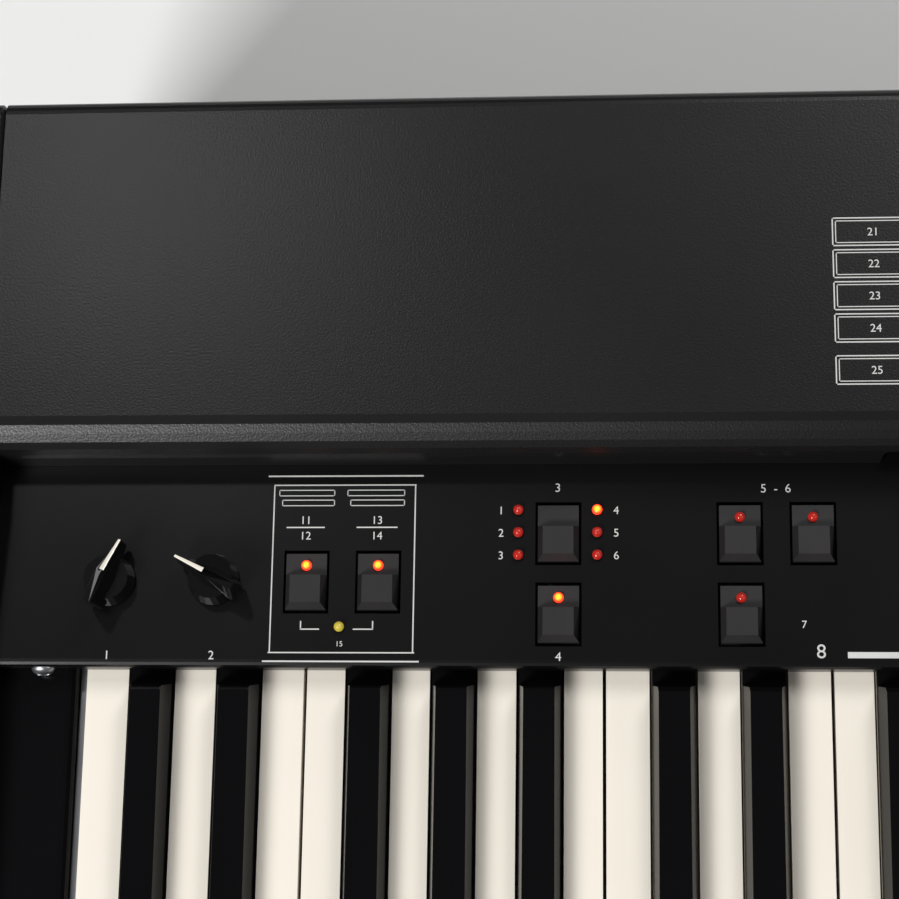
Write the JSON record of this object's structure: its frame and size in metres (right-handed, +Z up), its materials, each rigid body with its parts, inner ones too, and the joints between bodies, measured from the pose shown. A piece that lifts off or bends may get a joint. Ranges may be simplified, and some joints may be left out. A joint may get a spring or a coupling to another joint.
{
  "type": "electronic organ",
  "caption": "Portable two-manual electronic organ with pressable keys, sliding drawbars, push buttons with lamps, pointer knobs and a mains switch.",
  "frame": {"origin": "middle of the footprint, on the surface that the feet stand on", "axes": "+X along the keyboard to the treble end, +Y away from the player, +Z up"},
  "size_m": [0.94, 0.462, 0.1593],
  "materials": {
    "case_paint": "fine textured matt",
    "panel_paint": "satin",
    "gloss_black": "gloss",
    "button_plastic": "matt",
    "ivory": "satin gloss",
    "brown_plastic": "gloss",
    "white_plastic": "gloss",
    "zinc_steel": "zinc plated",
    "circuit_board": "solder mask",
    "rubber": "matt",
    "fibreboard": "sealed board"
  },
  "bodies": {
    "case": {"left_cheek": "case_paint", "right_cheek": "case_paint", "deck": "case_paint", "rear_panel": "case_paint", "upper_key_slip": "case_paint", "lower_key_surround": "case_paint", "control_panel": "panel_paint", "upper_left_block": "gloss_black", "upper_right_block": "gloss_black", "drawbar_guide": "gloss_black", "mains_inlet": "gloss_black", "upper_key_set": "ivory", "lower_key_set": "ivory", "upper_key_frame": "zinc_steel", "lower_key_frame": "zinc_steel", "power_supply": "zinc_steel", "panel_board": "circuit_board", "main_board": "circuit_board", "jack_board": "circuit_board", "front_left_foot": "rubber", "front_right_foot": "rubber", "rear_left_foot": "rubber", "rear_right_foot": "rubber", "base_board": "fibreboard"},
    "natural_key_1": {"natural_key_1": "ivory"},
    "natural_key_2": {"natural_key_2": "ivory"},
    "natural_key_3": {"natural_key_3": "ivory"},
    "natural_key_4": {"natural_key_4": "ivory"},
    "natural_key_5": {"natural_key_5": "ivory"},
    "natural_key_6": {"natural_key_6": "ivory"},
    "natural_key_7": {"natural_key_7": "ivory"},
    "natural_key_8": {"natural_key_8": "ivory"},
    "sharp_key_1": {"sharp_key_1": "gloss_black"},
    "sharp_key_2": {"sharp_key_2": "gloss_black"},
    "sharp_key_3": {"sharp_key_3": "gloss_black"},
    "sharp_key_4": {"sharp_key_4": "gloss_black"},
    "sharp_key_5": {"sharp_key_5": "gloss_black"},
    "rotor_run_button": {"rotor_run_button": "button_plastic"},
    "rotor_speed_button": {"rotor_speed_button": "button_plastic"},
    "vibrato_select_button": {"vibrato_select_button": "button_plastic"},
    "vibrato_on_button": {"vibrato_on_button": "button_plastic"},
    "preset_left_button": {"preset_left_button": "button_plastic"},
    "preset_right_button": {"preset_right_button": "button_plastic"},
    "hold_button": {"hold_button": "button_plastic"},
    "percussion_on_button": {"percussion_on_button": "button_plastic"},
    "percussion_soft_button": {"percussion_soft_button": "button_plastic"},
    "percussion_fast_button": {"percussion_fast_button": "button_plastic"},
    "percussion_third_button": {"percussion_third_button": "button_plastic"},
    "drawbar_1": {"drawbar_1": "brown_plastic"},
    "drawbar_2": {"drawbar_2": "brown_plastic"},
    "drawbar_3": {"drawbar_3": "white_plastic"},
    "drawbar_4": {"drawbar_4": "white_plastic"},
    "drawbar_5": {"drawbar_5": "gloss_black"},
    "drawbar_6": {"drawbar_6": "white_plastic"},
    "drawbar_7": {"drawbar_7": "gloss_black"},
    "drawbar_8": {"drawbar_8": "gloss_black"},
    "drawbar_9": {"drawbar_9": "white_plastic"},
    "volume_knob": {"volume_knob": "gloss_black"},
    "drive_knob": {"drive_knob": "gloss_black"},
    "power_rocker": {"power_rocker": "gloss_black"}
  },
  "joints": [
    {"name": "natural_key_1_press", "type": "hinge", "parent": "case", "child": "natural_key_1", "pos_m": [0, 0.094, 0.1166], "axis": [1, 0, 0], "range_deg": [0, 3.1], "stiffness_Nm_per_rad": 1, "springref_deg": -8.02},
    {"name": "natural_key_2_press", "type": "hinge", "parent": "case", "child": "natural_key_2", "pos_m": [0, 0.094, 0.1166], "axis": [1, 0, 0], "range_deg": [0, 3.1], "stiffness_Nm_per_rad": 1, "springref_deg": -8.02},
    {"name": "natural_key_3_press", "type": "hinge", "parent": "case", "child": "natural_key_3", "pos_m": [0, 0.094, 0.1166], "axis": [1, 0, 0], "range_deg": [0, 3.1], "stiffness_Nm_per_rad": 1, "springref_deg": -8.02},
    {"name": "natural_key_4_press", "type": "hinge", "parent": "case", "child": "natural_key_4", "pos_m": [0, 0.094, 0.1166], "axis": [1, 0, 0], "range_deg": [0, 3.1], "stiffness_Nm_per_rad": 1, "springref_deg": -8.02},
    {"name": "natural_key_5_press", "type": "hinge", "parent": "case", "child": "natural_key_5", "pos_m": [0, 0.094, 0.1166], "axis": [1, 0, 0], "range_deg": [0, 3.1], "stiffness_Nm_per_rad": 1, "springref_deg": -8.02},
    {"name": "natural_key_6_press", "type": "hinge", "parent": "case", "child": "natural_key_6", "pos_m": [0, 0.094, 0.1166], "axis": [1, 0, 0], "range_deg": [0, 3.1], "stiffness_Nm_per_rad": 1, "springref_deg": -8.02},
    {"name": "natural_key_7_press", "type": "hinge", "parent": "case", "child": "natural_key_7", "pos_m": [0, 0.094, 0.1166], "axis": [1, 0, 0], "range_deg": [0, 3.1], "stiffness_Nm_per_rad": 1, "springref_deg": -8.02},
    {"name": "natural_key_8_press", "type": "hinge", "parent": "case", "child": "natural_key_8", "pos_m": [0, 0.094, 0.1166], "axis": [1, 0, 0], "range_deg": [0, 3.1], "stiffness_Nm_per_rad": 1, "springref_deg": -8.02},
    {"name": "sharp_key_1_press", "type": "hinge", "parent": "case", "child": "sharp_key_1", "pos_m": [0, 0.094, 0.1166], "axis": [1, 0, 0], "range_deg": [0, 3.1], "stiffness_Nm_per_rad": 1, "springref_deg": -8.02},
    {"name": "sharp_key_2_press", "type": "hinge", "parent": "case", "child": "sharp_key_2", "pos_m": [0, 0.094, 0.1166], "axis": [1, 0, 0], "range_deg": [0, 3.1], "stiffness_Nm_per_rad": 1, "springref_deg": -8.02},
    {"name": "sharp_key_3_press", "type": "hinge", "parent": "case", "child": "sharp_key_3", "pos_m": [0, 0.094, 0.1166], "axis": [1, 0, 0], "range_deg": [0, 3.1], "stiffness_Nm_per_rad": 1, "springref_deg": -8.02},
    {"name": "sharp_key_4_press", "type": "hinge", "parent": "case", "child": "sharp_key_4", "pos_m": [0, 0.094, 0.1166], "axis": [1, 0, 0], "range_deg": [0, 3.1], "stiffness_Nm_per_rad": 1, "springref_deg": -8.02},
    {"name": "sharp_key_5_press", "type": "hinge", "parent": "case", "child": "sharp_key_5", "pos_m": [0, 0.094, 0.1166], "axis": [1, 0, 0], "range_deg": [0, 3.1], "stiffness_Nm_per_rad": 1, "springref_deg": -8.02},
    {"name": "rotor_run_button_press", "type": "slide", "parent": "case", "child": "rotor_run_button", "axis": [0, 0, -1], "range_m": [0, 0.0015], "stiffness_N_per_m": 600, "springref_m": -0.002},
    {"name": "rotor_speed_button_press", "type": "slide", "parent": "case", "child": "rotor_speed_button", "axis": [0, 0, -1], "range_m": [0, 0.0015], "stiffness_N_per_m": 600, "springref_m": -0.002},
    {"name": "vibrato_select_button_press", "type": "slide", "parent": "case", "child": "vibrato_select_button", "axis": [0, 0, -1], "range_m": [0, 0.0015], "stiffness_N_per_m": 600, "springref_m": -0.002},
    {"name": "vibrato_on_button_press", "type": "slide", "parent": "case", "child": "vibrato_on_button", "axis": [0, 0, -1], "range_m": [0, 0.0015], "stiffness_N_per_m": 600, "springref_m": -0.002},
    {"name": "preset_left_button_press", "type": "slide", "parent": "case", "child": "preset_left_button", "axis": [0, 0, -1], "range_m": [0, 0.0015], "stiffness_N_per_m": 600, "springref_m": -0.002},
    {"name": "preset_right_button_press", "type": "slide", "parent": "case", "child": "preset_right_button", "axis": [0, 0, -1], "range_m": [0, 0.0015], "stiffness_N_per_m": 600, "springref_m": -0.002},
    {"name": "hold_button_press", "type": "slide", "parent": "case", "child": "hold_button", "axis": [0, 0, -1], "range_m": [0, 0.0015], "stiffness_N_per_m": 600, "springref_m": -0.002},
    {"name": "percussion_on_button_press", "type": "slide", "parent": "case", "child": "percussion_on_button", "axis": [0, 0, -1], "range_m": [0, 0.0015], "stiffness_N_per_m": 600, "springref_m": -0.002},
    {"name": "percussion_soft_button_press", "type": "slide", "parent": "case", "child": "percussion_soft_button", "axis": [0, 0, -1], "range_m": [0, 0.0015], "stiffness_N_per_m": 600, "springref_m": -0.002},
    {"name": "percussion_fast_button_press", "type": "slide", "parent": "case", "child": "percussion_fast_button", "axis": [0, 0, -1], "range_m": [0, 0.0015], "stiffness_N_per_m": 600, "springref_m": -0.002},
    {"name": "percussion_third_button_press", "type": "slide", "parent": "case", "child": "percussion_third_button", "axis": [0, 0, -1], "range_m": [0, 0.0015], "stiffness_N_per_m": 600, "springref_m": -0.002},
    {"name": "drawbar_1_pull", "type": "slide", "parent": "case", "child": "drawbar_1", "axis": [0, -1, 0], "range_m": [0, 0.048]},
    {"name": "drawbar_2_pull", "type": "slide", "parent": "case", "child": "drawbar_2", "axis": [0, -1, 0], "range_m": [0, 0.048]},
    {"name": "drawbar_3_pull", "type": "slide", "parent": "case", "child": "drawbar_3", "axis": [0, -1, 0], "range_m": [0, 0.048]},
    {"name": "drawbar_4_pull", "type": "slide", "parent": "case", "child": "drawbar_4", "axis": [0, -1, 0], "range_m": [0, 0.048]},
    {"name": "drawbar_5_pull", "type": "slide", "parent": "case", "child": "drawbar_5", "axis": [0, -1, 0], "range_m": [0, 0.048]},
    {"name": "drawbar_6_pull", "type": "slide", "parent": "case", "child": "drawbar_6", "axis": [0, -1, 0], "range_m": [0, 0.048]},
    {"name": "drawbar_7_pull", "type": "slide", "parent": "case", "child": "drawbar_7", "axis": [0, -1, 0], "range_m": [0, 0.048]},
    {"name": "drawbar_8_pull", "type": "slide", "parent": "case", "child": "drawbar_8", "axis": [0, -1, 0], "range_m": [0, 0.048]},
    {"name": "drawbar_9_pull", "type": "slide", "parent": "case", "child": "drawbar_9", "axis": [0, -1, 0], "range_m": [0, 0.048]},
    {"name": "volume_knob_turn", "type": "hinge", "parent": "case", "child": "volume_knob", "pos_m": [-0.4145, 0.0763, 0.1373], "axis": [0, 0, 1], "range_deg": [-127, 173]},
    {"name": "drive_knob_turn", "type": "hinge", "parent": "case", "child": "drive_knob", "pos_m": [-0.3813, 0.0766, 0.1373], "axis": [0, 0, 1], "range_deg": [-211.6, 88.4]},
    {"name": "power_rocker_tilt", "type": "hinge", "parent": "case", "child": "power_rocker", "pos_m": [0.3155, 0.2268, 0.052], "axis": [1, 0, 0], "range_deg": [0, 18]}
  ]
}
